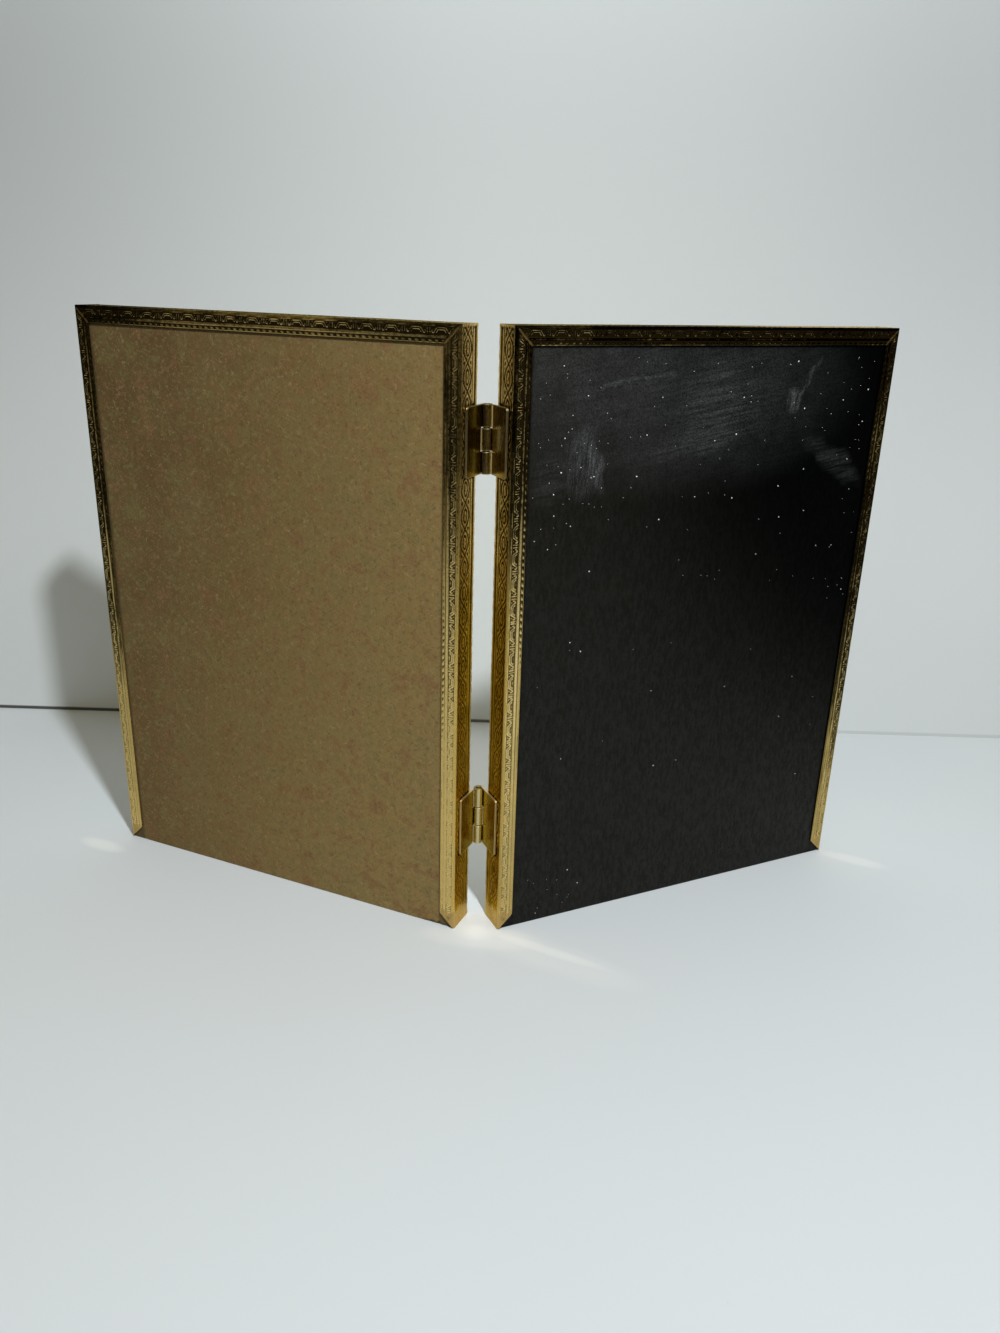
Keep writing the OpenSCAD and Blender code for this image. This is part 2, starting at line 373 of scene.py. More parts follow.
def rail_relief(rail, seed):
    """The ornament's height over the whole rail, worn smooth towards the foot."""
    run = rail.run - rail.length / 2
    pattern, beads = lip_relief(rail.v, run)
    pattern = pattern * left_of(PATTERN_LEFT, rail)
    beads = beads * left_of(BEADS_LEFT, rail)
    side_wear = smooth_step(rail.height, 4, 9) * (0.5 + 0.5 * smooth_step(rail.height, 50, 100))
    shapes = {
        "lip": pattern + beads,
        "side": side_relief(rail.w, run) * (side_wear if rail.kind != "bottom_rail" else 0),
        "shoulder": shoulder_relief(rail.shares, run),
        "cove": cove_relief(rail.shares, run),
    }
    relief = np.zeros(run.shape)
    for part, shape in shapes.items():
        relief = np.where(rail.names == part, shape, relief)
    seam = smooth_step(rail.from_mitre, 0.9, 0.3)
    relief = relief * (1 - seam) + 0.07 * ridge(rail.from_mitre, 0.1, 0.3) * rail.on_lip
    lumps = 0.022 * value_noise(run / 9, (rail.v + rail.w) / 5, seed)
    lumps = lumps + 0.012 * value_noise(run / 2.1, (rail.v - rail.w) / 1.7, seed + 1)
    outside = (rail.names != "inside") & (rail.names != "edge")
    return relief + outside * (lumps - 0.034) * smooth_step(rail.from_mitre, 0, 2)


# How far each lip, and the top rails' upper sides, have darkened at places along them, up from
# the table or out from the hinges: 0 is bright brass, 1 brown and 2 black. The darkening is tarnish
# and painted shade, which darkens the upper parts, with painted reflection and shade along the top
# rails' upper sides
TARNISH_AND_SHADE = {
    "left_hinge_stile": ((70, 0.0), (95, 0.06), (122, 0.3), (150, 0.78), (182, 0.6)),
    "left_outer_stile": ((10, 0.2), (55, 0.22), (70, 0.38), (90, 0.8), (110, 0.85), (130, 1.35), (150, 0.7),
                         (182, 1.35)),
    "left_top_rail": ((8, 1.4), (45, 0.6), (85, 0.85), (125, 1.75)),
    "right_hinge_stile": ((10, 0.22), (70, 0.22), (90, 0.08), (112, 0.28), (150, 1.45), (182, 1.55)),
    "right_outer_stile": ((10, 0.28), (30, 0.44), (50, 0.7), (70, 0.92), (90, 1.6), (130, 2.0), (150, 1.2),
                          (182, 2.1)),
    "right_top_rail": ((8, 1.6), (30, 2.2), (125, 2.4)),
    "bottom_rail": ((0, 0.2), (130, 0.2)),
    "left_top_side": ((10, 0.68), (50, 0.9), (90, 1.2), (125, 1.65)),
    "right_top_side": ((10, 1.05), (50, 1.35), (90, 0.35), (125, 0.0)),
}
TARNISH_AND_SHADE_SHARES = {"lip": 1.0, "edge": 1.0, "side": 0.22, "shoulder": 0.2, "cove": 0.25, "inside": 0.4}


def rail_tarnish_and_shade(rail):
    """How far the brass has darkened by tarnish and painted shade: the lips the most."""
    places, levels = zip(*TARNISH_AND_SHADE.get(f"{rail.side}_{rail.kind}", TARNISH_AND_SHADE["bottom_rail"]))
    share = np.array([TARNISH_AND_SHADE_SHARES[name] for name in rail.names[:, 0]])[:, None]
    tarnish = share * np.interp(rail.run, places, levels)
    if rail.kind == "top_rail":
        places, levels = zip(*TARNISH_AND_SHADE[f"{rail.side}_top_side"])
        tarnish = np.where(rail.on_side, np.interp(rail.run, places, levels), tarnish)
    return tarnish


def leaf_outline(rail):
    """1 on a line round a hinge leaf on the stile's side, where the side is darkened, and 0 off it."""
    line = 0 * rail.height
    if rail.kind == "hinge_stile":
        for foot in (LOWER_HINGE_Z, UPPER_HINGE_Z):
            beyond_z = np.abs(rail.height - foot - HINGE_LEN / 2) - HINGE_LEN / 2
            beyond = np.maximum(beyond_z, (BACK_PLANE - HINGE_REACH) - rail.w)
            line = np.maximum(line, smooth_step(beyond, 0.75, 0.25))
    return line


def darkened(rail, seed):
    """The tarnish and painted shade all over one rail: streaked on the lip, patchy beside the hinges, and
    darker round the hinge leaves.
    """
    tarnish = rail_tarnish_and_shade(rail)
    streaks = (value_noise(rail.run / 14, (rail.v + rail.w) / 0.55, seed + 3)
               + value_noise(rail.run / 5, (rail.v + rail.w) / 0.3, seed + 4))
    tarnish = clamp(tarnish + 0.3 * rail.on_lip * streaks * smooth_step(tarnish, 0.15, 0.6), 0, 2.5)
    if rail.kind == "top_rail":
        # Painted highlight: the top rails' lips are lighter along their free edge
        free_edge = (rail.names == "edge") & (rail.v > 4.5)
        tarnish = np.where(free_edge, 0.55 * tarnish, tarnish)
        if rail.side == "left":
            brighter = 1 - 0.35 * rail.on_lip * smooth_step(rail.run, 115, 80)
            tarnish = tarnish * np.where(rail.v > 3.1, brighter, 1)
    tarnish = tarnish + 0.9 * rail.on_side * leaf_outline(rail)
    if rail.kind == "hinge_stile":
        patches = 0.24 * (1 + value_noise(rail.run / 4, rail.w / 2.2, seed + 5))
        tarnish = tarnish + rail.on_side * patches * smooth_step(rail.height, 210, 110)
    return tarnish


def bared(rail, seed):
    """1 where the brass is rubbed bare: at the foot, and along the lips' mitres higher up."""
    ragged = 1.2 * value_noise(rail.run / 1.5, rail.v + rail.w, seed + 2)
    foot = smooth_step(rail.height + ragged, 6.8, 5.2)
    mitres = 0.9 * smooth_step(rail.from_mitre, 0.5, 0.25) * rail.on_lip
    return np.maximum(foot, mitres * smooth_step(rail.height, 20, 60))


def outward_normals(rail):
    """The outline's unit normals, pointing away from the brass."""
    tangent = np.roll(rail.outline, -1, axis=0) - np.roll(rail.outline, 1, axis=0)
    tangent /= np.linalg.norm(tangent, axis=1, keepdims=True)
    normal = np.stack([tangent[:, 1], -tangent[:, 0]], -1)
    return -normal if normal[rail.on_side[:, 0]][0, 0] > 0 else normal


def raised_points(rail, relief, normal):
    """The rail's points in the model with the ornament raised, and if its faces have to be turned."""
    raised_v = rail.v + relief * normal[:, :1]
    raised_u, raised_z = rail.place(raised_v, mitred(raised_v, rail.columns, rail.length))
    model = in_model(rail.side, raised_u, rail.w + relief * normal[:, 1:], raised_z)
    out_u, out_z = rail.place(rail.v + normal[:, :1], rail.run)
    outward = in_model(rail.side, out_u, rail.w + normal[:, 1:], out_z)
    outward = outward - in_model(rail.side, rail.u, rail.w, rail.height)
    i, j = FACING_TEST
    facing = np.cross(model[i + 1, j] - model[i, j], model[i, j + 1] - model[i, j])
    return model, facing @ outward[i, j] < 0


def make_rail(side, kind, seed):
    """One rail of a frame, with its ornament raised from the CAD model's plain moulding."""
    grid = Rail(side, kind)
    relief = rail_relief(grid, seed)
    model, turn = raised_points(grid, relief, outward_normals(grid))
    proud = relief - blurred(relief, 3)
    faces = tube_faces(*relief.shape, turn)
    # A warmer colour on the sides, most low on the hinge stiles, whose sides face each other, and a little
    # off the lip elsewhere: a painted reflection of brass in brass
    side_warm = (1 - 0.65 * smooth_step(grid.height, 95, 150)) * (1 if kind == "hinge_stile" else 0.35)
    rail = add_mesh(f"{side}_{kind}_moulding", "moulding_brass", model.reshape(-1, 3), faces, {
        "depth": clamp(-relief / 0.26).ravel(),
        "proud": clamp(0.5 + proud / 0.12).ravel(),
        "tarnish": darkened(grid, seed).ravel(),
        "warm": np.where(grid.on_side, side_warm, 0.3 * (1 - grid.on_lip)).ravel(),
        "bare": bared(grid, seed).ravel(),
        "inner": np.broadcast_to(grid.names == "inside", relief.shape).ravel(),
    })
    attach(rail, f"{side}_frame")
    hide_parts(f"{side}_{kind}")


class Nodes:
    """Adds nodes to one material or world, linked to each other as they are made."""

    def __init__(self, owner):
        owner.use_nodes = True
        self.tree = owner.node_tree
        self.tree.nodes.clear()

    def add(self, kind, inputs=None, **settings):
        node = self.tree.nodes.new("ShaderNode" + kind)
        for name, value in settings.items():
            setattr(node, name, value)
        for name, value in (inputs or {}).items():
            if isinstance(value, bpy.types.NodeSocket):
                self.tree.links.new(value, node.inputs[name])
            else:
                node.inputs[name].default_value = value
        return node

    def field(self, name, output="Fac"):
        return self.add("Attribute", attribute_name=name).outputs[output]

    def place(self):
        return self.add("TexCoord").outputs["Object"]

    def axes(self, where):
        return self.add("SeparateXYZ", {0: where}).outputs

    def noise(self, where, size, detail=3, rough=0.55, distortion=0.0):
        """Noise with features of about the given size in millimetres."""
        return self.add("TexNoise", {
            "Vector": where, "Scale": 1 / (size * MM), "Detail": detail,
            "Roughness": rough, "Distortion": distortion,
        }).outputs["Fac"]

    def stretched(self, where, turn, scale, centre=(0, 0, 0)):
        """The place as seen from the centre, in axes turned about Y and longer by the scales."""
        return self.add("Mapping", {
            "Vector": where, "Location": centre, "Rotation": (0, radians(turn), 0), "Scale": scale,
        }, vector_type="TEXTURE").outputs["Vector"]

    def spread(self, value, low, high, to_low=0.0, to_high=1.0):
        """The value's range from low to high made to run smoothly from to_low to to_high."""
        return self.add("MapRange", {
            "Value": value, "From Min": low, "From Max": high, "To Min": to_low, "To Max": to_high,
        }, interpolation_type="SMOOTHSTEP").outputs["Result"]

    def math(self, operation, a, b=0.0):
        return self.add("Math", {0: a, 1: b}, operation=operation).outputs[0]

    def times(self, a, b):
        return self.math("MULTIPLY", a, b)

    def plus(self, a, b):
        return self.math("ADD", a, b)

    def mix(self, share, a, b):
        colours = {6: a, 7: b}
        for index, colour in colours.items():
            if not isinstance(colour, bpy.types.NodeSocket):
                colours[index] = (*colour, 1)
        return self.add("Mix", {0: share, **colours}, data_type="RGBA").outputs[2]

    def bump(self, height, distance, normal=None):
        inputs = {"Height": height, "Distance": distance * MM, "Strength": 1.0}
        if normal:
            inputs["Normal"] = normal
        return self.add("Bump", inputs).outputs["Normal"]

    def principled(self, inputs):
        return self.add("BsdfPrincipled", inputs).outputs[0]

    def finish(self, shader):
        self.add("OutputMaterial", {"Surface": shader})


MATERIALS = {}


def new_material(name):
    MATERIALS[name] = bpy.data.materials.new(name)
    return Nodes(MATERIALS[name])


def make_moulding_brass():
    """Pressed brass: bright on the ridges, brown in the hollows, darker where tarnished and by painted
    shade higher up, and warmer on its sides by a painted reflection.
    """
    n = new_material("moulding_brass")
    where = n.place()
    height = n.axes(where)["Z"]
    cloud = n.noise(where, 14, 4)
    grime = n.noise(where, 1.1, 4, 0.65)
    pits = n.noise(where, 0.45, 2, 0.5)
    depth = n.field("depth")
    proud = n.field("proud")
    # Tarnish together with painted shade, as each rail gives it
    tarnish = n.times(n.field("tarnish"), n.spread(cloud, 0.3, 0.7, 0.8, 1.2))
    brass = n.mix(n.spread(cloud, 0.3, 0.7), (0.72, 0.51, 0.175), (0.66, 0.48, 0.17))
    # Painted reflection of brass in brass: warmer colour where the rails give it
    metal = n.mix(n.field("warm"), brass, (0.55, 0.32, 0.004))
    bronze = n.mix(n.spread(grime, 0.35, 0.65), (0.050, 0.038, 0.014), (0.095, 0.074, 0.028))
    metal = n.mix(n.spread(tarnish, 0.0, 1.0), metal, bronze)
    metal = n.mix(n.spread(tarnish, 1.0, 2.0), metal, (0.004, 0.0035, 0.0025))
    raised = n.plus(proud, n.times(grime, 0.3))
    raised = n.math("SUBTRACT", raised, n.times(tarnish, 0.13))
    worn = n.spread(raised, 0.72, 0.94)
    worn = n.times(worn, n.spread(tarnish, 1.0, 2.0, 0.85, 0.6))
    bright = n.mix(n.field("warm"), (0.92, 0.72, 0.32), (0.72, 0.47, 0.06))
    metal = n.mix(worn, metal, bright)
    stained = n.times(depth, n.plus(0.3, n.times(tarnish, 0.7)))
    hollow = n.plus(n.spread(proud, 0.5, 0.2), stained)
    # Dirt in the hollows, with painted shade that makes it grow higher up the frame
    shade_higher_up = n.spread(height, 0.02, 0.13, 0.5, 0.97)
    dirt_and_shade = n.times(n.spread(n.plus(hollow, grime), 0.75, 1.35), shade_higher_up)
    metal = n.mix(dirt_and_shade, metal, (0.018, 0.011, 0.003))
    spots = n.spread(pits, 0.69, 0.74)
    metal = n.mix(n.times(spots, 0.6), metal, (0.05, 0.035, 0.015))
    metal = n.mix(n.field("bare"), metal, (0.50, 0.34, 0.12))
    metal = n.mix(n.field("inner"), metal, (0.30, 0.24, 0.12))
    rough = n.plus(n.spread(grime, 0.3, 0.7, 0.24, 0.38), n.times(dirt_and_shade, 0.2))
    bump = n.bump(grime, 0.02, n.bump(pits, 0.012))
    tint = n.mix(n.spread(n.field("warm"), 0.3, 1.0), (1.0, 0.95, 0.84), (1.0, 0.84, 0.55))
    n.finish(n.principled({
        "Base Color": metal, "Metallic": n.spread(dirt_and_shade, 0.3, 1.0, 1.0, 0.7), "Roughness": rough,
        "Specular IOR Level": 0.12, "Normal": bump,
        "Specular Tint": n.mix(n.spread(tarnish, 0.1, 1.0), tint, (0.20, 0.17, 0.12)),
    }))


def make_hinge_brass():
    """Smooth rolled plate with bright cut edges, browner on the upper hinge, with painted shade and
    highlights.
    """
    n = new_material("hinge_brass")
    where = n.place()
    axes = n.axes(where)
    cloud = n.noise(where, 4, 3)
    lines = n.noise(n.stretched(where, 0, (1, 1, 16)), 0.35, 3)
    right_part = n.spread(axes["X"], -0.3 * MM, 0.3 * MM)
    upper = n.spread(axes["Z"], 0.12, 0.16)
    metal = n.mix(n.spread(cloud, 0.35, 0.7), (0.56, 0.41, 0.09), (0.46, 0.34, 0.075))
    # Painted shade: the left leaves are darker
    metal = n.mix(right_part, n.mix(0.25, metal, (0.10, 0.06, 0.01)), metal)
    # Tarnish and painted shade: the upper hinge is browner, darkest on its left leaf
    brown = n.mix(right_part, (0.105, 0.065, 0.02), (0.52, 0.40, 0.18))
    metal = n.mix(n.times(upper, 0.8), metal, brown)
    # Painted highlight: the barrel is paler, the lower hinge's the most
    barrel = n.mix(upper, (0.72, 0.63, 0.38), (0.46, 0.34, 0.12))
    metal = n.mix(n.times(n.field("rolled"), 0.7), metal, barrel)
    blotches = n.spread(n.noise(where, 1.2, 4, 0.7), 0.6, 0.75, 0.0, 0.5)
    metal = n.mix(blotches, metal, (0.20, 0.14, 0.04))
    # Brighter cut edges: bare brass, and a painted highlight
    rim = n.mix(upper, (0.85, 0.70, 0.38), (0.40, 0.33, 0.18))
    metal = n.mix(n.spread(n.field("rim"), 0.2, 0.8, 0.0, 0.85), metal, rim)
    # Painted shade on the roll's ends and on the pin
    metal = n.mix(n.field("sooty"), metal, (0.03, 0.022, 0.01))
    dull_rim = n.times(n.field("rim"), 0.16)
    n.finish(n.principled({
        "Base Color": metal, "Metallic": 1.0,
        "Roughness": n.plus(n.spread(lines, 0.3, 0.7, 0.2, 0.3), dull_rim),
        "Specular Tint": (0.85, 0.70, 0.42, 1.0), "Normal": n.bump(lines, 0.002),
    }))


def fibres(n, where, size):
    """Short fibres lying every way in a sheet, from 0 to 1."""
    layers = [
        n.noise(n.stretched(where, turn, (1, 1, 5)), size, 2, 0.5, 0.6)
        for turn in (12, 71, 128)
    ]
    return n.times(n.plus(n.plus(layers[0], layers[1]), layers[2]), 1 / 3)


def shade_under_lips(n, axes):
    """1 on a board's surface close to the lips that hold it, where shade is painted, and 0 away from them.
    """
    off_middle = n.math("ABSOLUTE", n.math("SUBTRACT", axes["X"], FRAME_W / 2 * MM))
    beside = n.math("SUBTRACT", off_middle, (FRAME_W / 2 - BACK_LIP_W) * MM)
    above = n.math("SUBTRACT", axes["Z"], (FRAME_H - BACK_LIP_W) * MM)
    return n.spread(n.math("MAXIMUM", beside, above), -1.1 * MM, 0.0)


def make_brown_board():
    """Kraft fibreboard, with painted shade darker towards its upper outer corner and under the lips."""
    n = new_material("brown_board")
    where = n.field("panel", "Vector")
    axes = n.axes(where)
    strands = fibres(n, where, 0.55)
    curled = n.math("ABSOLUTE", n.math("SUBTRACT", n.noise(where, 2.4, 2, 0.5, 1.5), 0.5))
    broken = n.spread(n.noise(where, 1.3, 2, 0.5), 0.52, 0.6)
    curls = n.times(n.spread(curled, 0.03, 0.01), broken)
    cloud = n.noise(where, 22, 4, 0.6)
    mottle = n.noise(where, 6.5, 5, 0.7, 0.5)
    flecks = n.noise(where, 0.7, 2, 0.4)
    # Painted shade: the board darkens towards its upper outer corner
    shade_outwards = n.plus(n.times(axes["X"], 2.6), n.times(axes["Z"], 0.95))
    board = n.mix(n.spread(shade_outwards, 0.0, 0.5), (0.256, 0.173, 0.058), (0.102, 0.061, 0.019))
    layers = [
        (cloud, 0.36, 0.66, 0.25, (0.205, 0.165, 0.062)),
        (mottle, 0.5, 0.64, 0.62, (0.190, 0.098, 0.040)),
        (mottle, 0.49, 0.36, 0.55, (0.162, 0.130, 0.044)),
        (strands, 0.52, 0.61, 0.28, (0.30, 0.22, 0.095)),
        (strands, 0.48, 0.39, 0.5, (0.090, 0.058, 0.020)),
    ]
    for value, low, high, share, colour in layers:
        board = n.mix(n.spread(value, low, high, 0.0, share), board, colour)
    board = n.mix(n.times(curls, 0.38), board, (0.36, 0.27, 0.125))
    board = n.mix(n.spread(flecks, 0.73, 0.78, 0.0, 0.6), board, (0.06, 0.038, 0.016))
    # Painted shade under the lips
    board = n.mix(n.times(shade_under_lips(n, axes), 0.6), board, (0.05, 0.034, 0.014))
    board = n.mix(n.spread(n.field("torn"), 0.2, 0.8, 0.0, 0.75), board, (0.055, 0.036, 0.016))
    n.finish(n.principled({
        "Base Color": board, "Roughness": n.spread(mottle, 0.3, 0.7, 0.78, 0.9),
        "Specular IOR Level": 0.3, "Normal": n.bump(strands, 0.12, n.bump(mottle, 0.05)),
    }))


def wobbled(n, where, size, reach):
    """The place pushed about by noise of the given size, as far as the reach."""
    push = n.add("TexNoise", {"Vector": where, "Scale": 1 / (size * MM), "Detail": 3}).outputs["Color"]
    off = n.add("VectorMath", {0: push, 1: (0.5, 0.5, 0.5)}, operation="SUBTRACT").outputs[0]
    off = n.add("VectorMath", {0: off, "Scale": 4 * reach * MM}, operation="SCALE").outputs[0]
    return n.add("VectorMath", {0: where, 1: off}, operation="ADD").outputs[0]


def smear(n, where, centre, reach, turn=0.0):
    """A soft patch of the board, 1 in its middle: centre and reach in millimetres."""
    middle = (centre[0] * MM, 0, centre[1] * MM)
    axes = n.axes(n.stretched(where, turn, (reach[0] * MM, 1, reach[1] * MM), middle))
    across = n.math("POWER", axes["X"], 2.0)
    up = n.math("POWER", axes["Z"], 2.0)
    return n.spread(n.plus(across, up), 1.0, 0.0)


# Wiped patches of dust on the black board: centre, reach, turn, and how strong they are
SMEARS = [
    ((22, 146), (7, 13), 4, 0.75),
    ((26, 145), (3, 10), -12, 0.7),
    ((12, 142), (8, 8), 0, 0.4),
    ((66, 161), (19, 13), -20, 0.42),
    ((93, 161.5), (3.4, 4.2), 10, 1.1),
    ((98, 168.5), (1.5, 7.5), 32, 0.8),
    ((111, 143), (16, 4.5), 32, 0.45),
    ((36, 168), (17, 0.7), -7, 0.8),
    ((60, 151), (24, 5), -10, 0.3),
]


def make_black_board():
    """Black board, dulled by wiped dust in its upper part, and duller near its hinge and its foot, with
    painted shade towards its upper outer corner and under the lips.
    """
    n = new_material("black_board")
    where = n.field("panel", "Vector")
    axes = n.axes(where)
    cloud = n.noise(where, 16, 5, 0.65)
    grain = n.noise(where, 0.5, 3, 0.6)
    wipes = n.noise(n.stretched(where, -9, (16, 1, 1)), 0.9, 5, 0.75, 0.5)
    fingers = n.noise(n.stretched(where, 6, (1, 1, 9)), 1.0, 4, 0.75, 0.6)
    speckle = n.noise(where, 0.45, 3, 0.75)
    pushed = wobbled(n, where, 6, 1.6)
    haze = n.times(smear(n, where, (48, 170), (76, 38), 4), 0.40)
    haze = n.times(haze, n.spread(wipes, 0.35, 0.7, 0.72, 1.1))
    haze = n.times(haze, n.spread(cloud, 0.3, 0.65, 0.6, 1.1))
    for centre, reach, turn, strength in SMEARS:
        streaks = fingers if reach[1] > reach[0] else wipes
        patch = n.times(smear(n, pushed, centre, reach, turn), strength)
        haze = n.plus(haze, n.times(patch, n.spread(streaks, 0.35, 0.68, 0.05, 1.0)))
    haze = n.times(haze, n.spread(speckle, 0.36, 0.64, 0.4, 1.5))
    off_corner = n.spread(n.times(axes["X"], axes["Z"]), -0.001, 0.014)
    board = n.mix(n.spread(grain, 0.35, 0.65, 0.0, 0.6), (0.0088, 0.0082, 0.0056), (0.002, 0.002, 0.0015))
    board = n.mix(n.spread(cloud, 0.45, 0.75, 0.0, 0.3), board, (0.0125, 0.0095, 0.0062))
    # Painted shade: the board is darker towards its upper outer corner
    board = n.mix(off_corner, board, (0.0007, 0.0010, 0.0009))
    board = n.mix(n.times(haze, 0.5), board, (0.098, 0.103, 0.106))
    # Painted shade under the lips
    board = n.mix(n.times(shade_under_lips(n, axes), 0.9), board, (0.0005, 0.0005, 0.0005))
    rough = n.plus(n.spread(grain, 0.3, 0.7, 0.38, 0.5), n.times(haze, 0.15))
    weave = n.noise(n.stretched(where, 0, (1, 1, 3)), 0.9, 4, 0.75)
    sheen = n.spread(off_corner, 0.0, 1.0, 0.17, 0.02)
    sheen = n.times(sheen, n.spread(weave, 0.36, 0.64, 0.6, 1.4))
    n.finish(n.principled({
        "Base Color": board, "Roughness": rough, "Specular IOR Level": sheen, "Normal": n.bump(grain, 0.03),
    }))


def make_dust():
    n = new_material("dust")
    speckle = n.noise(n.place(), 0.3, 2)
    n.finish(n.principled({
        "Base Color": n.mix(n.spread(speckle, 0.3, 0.7), (0.80, 0.79, 0.75), (0.95, 0.95, 0.93)),
        "Roughness": 0.9,
    }))


def make_cards():
    """The blank photograph card, a little mottled, and the plain grey filler card."""
    n = new_material("photo_card")
    where = n.place()
    fibre = n.noise(where, 0.35, 3)
    cloud = n.noise(where, 30, 3)
    paper = n.mix(n.spread(cloud, 0.3, 0.7), (0.80, 0.77, 0.70), (0.74, 0.71, 0.63))
    paper = n.mix(n.spread(fibre, 0.35, 0.65, 0.0, 0.25), paper, (0.64, 0.60, 0.52))
    n.finish(n.principled({
        "Base Color": paper, "Roughness": n.spread(fibre, 0.3, 0.7, 0.55, 0.7),
        "Normal": n.bump(fibre, 0.02),
    }))
    n = new_material("filler_card")
    where = n.place()
    fibre = n.noise(where, 0.5, 4, 0.7)
    pulp = n.mix(n.spread(fibre, 0.3, 0.7), (0.46, 0.42, 0.34), (0.34, 0.31, 0.25))
    n.finish(n.principled({
        "Base Color": pulp, "Roughness": 0.85, "Normal": n.bump(fibre, 0.05),
    }))


def make_clear_glass():
    n = new_material("clear_glass")
    smudge = n.noise(n.place(), 18, 4, 0.6)
    n.finish(n.principled({
        "Base Color": n.mix(n.spread(smudge, 0.4, 0.7), (0.97, 0.99, 0.98), (0.93, 0.96, 0.95)),
        "Roughness": n.spread(smudge, 0.45, 0.75, 0.01, 0.06),
        "Transmission Weight": 1.0, "IOR": 1.5,
    }))


def box_shell(xs, ys, zs):
    """Points and faces of a box's skin, with grid lines at the given places along each axis."""
    lattice = np.stack(np.meshgrid(xs, ys, zs, indexing="ij"), -1)
    index = np.arange(lattice[..., 0].size).reshape(lattice.shape[:3])
    faces = []
    for axis in range(3):
        for end in (0, -1):
            sheet = quads(np.take(index, end, axis)).reshape(-1, 4)
            outward = (end == -1) == (axis != 1)
            faces.append(sheet if outward else sheet[:, ::-1])
    used, faces = renumbered(np.concatenate(faces))
    return lattice.reshape(-1, 3)[used], faces


def rounded(points, low, high, radius):
    """The points of a box's skin moved so that its edges are round."""
    inner = np.clip(points, np.array(low) + radius, np.array(high) - radius)
    away = points - inner
    return inner + radius * away / np.maximum(np.linalg.norm(away, axis=1, keepdims=True), 1e-9)


def spaced(low, high, step, near_edge):
    """Places from low to high about one step apart, with more of them close to both ends."""
    middle = np.linspace(low + near_edge, high - near_edge, round((high - low) / step) + 1)
    edge = near_edge * np.array([0, 0.35, 0.7])
    return np.concatenate([low + edge, middle, high - edge[::-1]])


def make_board(side, material, torn):
    """The back board, with rounded edges, and bruised at its lower hinge corner if torn is 1."""
    low = (BOARD_SIDE, BOARD_BACK, 0)
    high = (FRAME_W - BOARD_SIDE, BOARD_BACK + BOARD_T, BOARD_H)
    bruised_xs = np.linspace(low[0] + 0.5, low[0] + 14, 46)
    bruised_zs = np.linspace(low[2] + 0.5, low[2] + 6, 16)
    xs = np.union1d(spaced(low[0], high[0], 2.5, 0.3), bruised_xs)
    zs = np.union1d(spaced(low[2], high[2], 2.5, 0.3), bruised_zs)
    ys = spaced(low[1], high[1], 0.5, 0.3)
    points, faces = box_shell(xs, ys, zs)
    points = rounded(points, low, high, BOARD_CORNER_R)
    u, w, z = points.T
    chipped = torn * smooth_step(u, 15, 1.5) * smooth_step(z, 1.6, 0)
    ragged = 0.5 + 0.5 * value_noise(u / 0.9, w / 0.7, 31)
    layers = 0.5 + 0.5 * np.sin(w * 7.5 + value_noise(u / 3, 0 * u, 32))
    raised = z + chipped * (0.75 * ragged + 0.35 * layers)
    raised = raised + 0.06 * smooth_step(z, 0.6, 0) * (1 + value_noise(u / 1.4, w, 33)) / 2
    shape = in_model(side, u, w, raised)
    if side == "left":
        faces = [face[::-1] for face in faces]
    board = add_mesh(f"{side}_board_panel", material, shape, faces, {
        "panel": np.stack([u, w, z], -1) * MM,
        "torn": clamp(torn * smooth_step(u, 15, 3) * smooth_step(z, 2.2, 0.3) * (0.4 + ragged)),
    })
    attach(board, f"{side}_board")
    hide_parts(f"{side}_back_board")


# The dust on the black board: how many specks, and each one's corners, radius and greatest extra radius
DUST_SPECKS = 190
SPECK_CORNERS = 7
SPECK_R = 0.08
SPECK_R_MORE = 0.14


def dust_share(u, z):
    """How likely dust is to lie at a place: most at the lower hinge corner and the upper sides."""
    lower_corner = 0.8 * (z < 17) * (u < 30)
    outer_edge = 0.5 * (u > 114) * (z > 90)
    upper_hinge_edge = 0.5 * (u < 30) * (z > 120)
    return 0.03 + 0.4 * (z / FRAME_H) ** 2.5 + (lower_corner + outer_edge + upper_hinge_edge)


def speck_points(u, z, size, draw):
    """Points of one low speck with a ragged outline."""
    ring = np.arange(SPECK_CORNERS) * 2 * pi / SPECK_CORNERS
    points = []
    for share, rise in ((1.0, 0.0), (0.75, 0.03)):
        wobble = draw.uniform(0.8, 1.2, SPECK_CORNERS)
        for angle, stretch in zip(ring, wobble):
            across = size * share * stretch * cos(angle)
            up = size * share * stretch * sin(angle)
            points.append((u + across, BOARD_BACK - rise, z + up))
    points.append((u, BOARD_BACK - 0.045, z))
    return points


def speck_faces(first):
    """Faces of the speck whose points start at the given number."""
    upper = first + SPECK_CORNERS
    top = upper + SPECK_CORNERS
    faces = []
    for k in range(SPECK_CORNERS):
        after = (k + 1) % SPECK_CORNERS
        faces.append([first + k, first + after, upper + after, upper + k])
        faces.append([upper + k, upper + after, top])
    faces.append([first + k for k in reversed(range(SPECK_CORNERS))])
    return faces


def make_dust_specks():
    """Specks of dust lying on the black board."""
    draw = np.random.default_rng(7)
    points = []
    faces = []
    kept = 0
    while kept < DUST_SPECKS:
        u = draw.uniform(6.5, FRAME_W - 6.5)
        z = draw.uniform(2, FRAME_H - 8)
        if draw.random() > dust_share(u, z):
            continue
        size = SPECK_R + SPECK_R_MORE * draw.random() ** 5
        faces += speck_faces(len(points))
        points += speck_points(u, z, size, draw)
        kept += 1
    u, w, z = np.array(points).T
    specks = add_mesh("right_board_dust", "dust", in_model("right", u, w, z), faces)
    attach(specks, "right_board")


